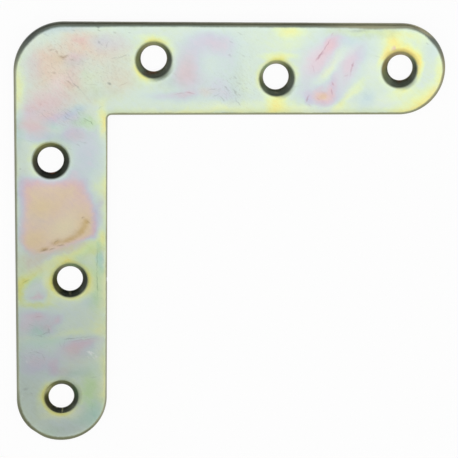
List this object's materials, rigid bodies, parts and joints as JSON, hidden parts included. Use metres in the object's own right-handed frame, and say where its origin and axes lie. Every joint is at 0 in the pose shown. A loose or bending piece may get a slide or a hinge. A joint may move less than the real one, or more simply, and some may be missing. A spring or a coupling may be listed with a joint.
{
  "type": "flat corner brace",
  "caption": "Flat right-angle corner brace of punched steel plate, with round arm ends and countersunk screw holes.",
  "frame": {"origin": "on the back face, where the centrelines of the two arms cross", "axes": "+Z out of the countersunk front face; one arm runs along +X and the other along -Y"},
  "size_m": [0.1, 0.1, 0.002],
  "materials": {
    "passivated_zinc": "satin zinc plating with a pale yellow iridescent passivation"
  },
  "bodies": {
    "root": {"corner_brace": "passivated_zinc"}
  },
  "joints": []
}
